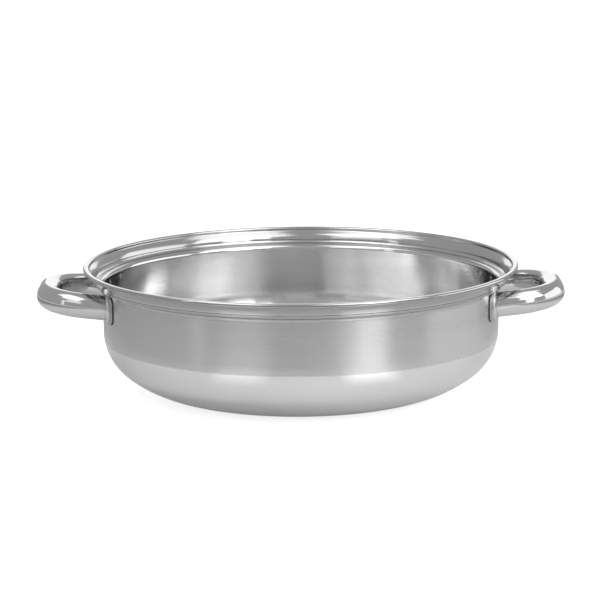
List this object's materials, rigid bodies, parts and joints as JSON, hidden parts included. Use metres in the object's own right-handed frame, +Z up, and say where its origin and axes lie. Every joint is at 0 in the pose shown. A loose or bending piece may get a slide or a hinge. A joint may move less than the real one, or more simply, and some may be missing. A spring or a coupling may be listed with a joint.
{
  "type": "round chafer water pan with side handles",
  "caption": "Open round stainless-steel pan with a rolled rim, a stepped ledge for an insert or lid, and tubular side handles on welded feet.",
  "frame": {"origin": "centre of the underside, at the height of the resting ring", "axes": "+Z up along the pan's axis, +X through the two handles, -Y towards the front"},
  "size_m": [0.4302, 0.355, 0.105],
  "materials": {
    "brushed_shell": "satin steel brushed round the wall",
    "polished_tube": "mirror-polished stainless tube",
    "stamped_foot": "polished stamped steel",
    "weld_mark": "dull spot-weld print"
  },
  "bodies": {
    "root": {"pan_shell": "brushed_shell", "right_handle_tube": "polished_tube", "left_handle_tube": "polished_tube", "right_front_foot": "stamped_foot", "right_rear_foot": "stamped_foot", "left_front_foot": "stamped_foot", "left_rear_foot": "stamped_foot", "spot_welds": "weld_mark"}
  },
  "joints": []
}
